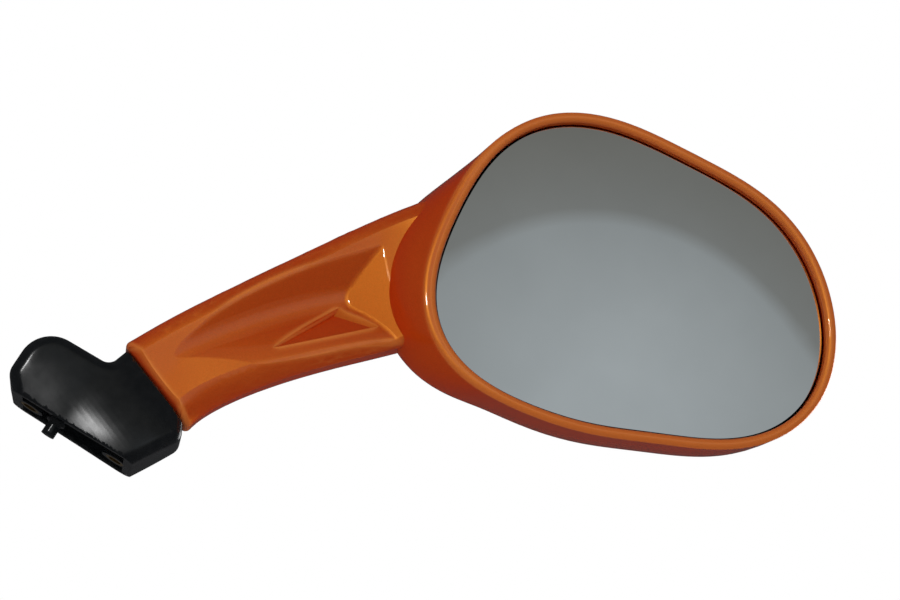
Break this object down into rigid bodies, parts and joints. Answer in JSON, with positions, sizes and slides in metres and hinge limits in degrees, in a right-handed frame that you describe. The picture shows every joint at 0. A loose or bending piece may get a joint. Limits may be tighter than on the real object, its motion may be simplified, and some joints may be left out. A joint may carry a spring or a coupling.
{
  "type": "motorcycle mirror",
  "caption": "Handlebar-fairing rear-view mirror: sculpted painted arm and oval head with recessed convex glass on a ball joint, swivelling on a hollow elbow foot.",
  "frame": {"origin": "middle of the foot's mounting face, between its two bolt holes", "axes": "+Z away from the mounting face, +X outboard along the foot, +Y forward; the glass faces -Y"},
  "size_m": [0.248, 0.048, 0.2099],
  "materials": {
    "painted_plastic": "pearl orange paint under clear coat",
    "foot_plastic": "semi-gloss moulded black",
    "inner_plastic": "moulded black",
    "bush_plastic": "natural acetal",
    "insert_brass": "turned",
    "steel": "zinc plated",
    "spring_steel": "oiled spring steel",
    "foam": "soft foam",
    "mirror": "silvered convex glass"
  },
  "bodies": {
    "foot": {"mount_foot": "foot_plastic", "mount_inserts": "insert_brass", "pivot_bush": "bush_plastic"},
    "arm": {"housing": "painted_plastic", "pivot_stud": "steel", "thrust_washer": "steel", "disc_springs": "spring_steel", "pivot_nut": "steel", "ball_mount": "inner_plastic", "ball_mount_screws": "steel"},
    "liner": {"ball_cup": "bush_plastic"},
    "glass": {"glass_carrier": "inner_plastic", "socket_clip": "spring_steel", "glass_pad": "foam", "mirror_glass": "mirror"}
  },
  "joints": [
    {"name": "arm_swivel", "type": "hinge", "parent": "foot", "child": "arm", "pos_m": [0.01595, 0, 0.02835], "axis": [0.3584, 0, 0.9336], "range_deg": [-45, 45]},
    {"name": "glass_tilt", "type": "hinge", "parent": "arm", "child": "liner", "pos_m": [0.1395, -0.008, 0.1475], "axis": [1, 0, 0], "range_deg": [-6, 6]},
    {"name": "glass_pan", "type": "hinge", "parent": "liner", "child": "glass", "pos_m": [0.1395, -0.008, 0.1475], "axis": [0, 0, 1], "range_deg": [-6, 6]}
  ]
}
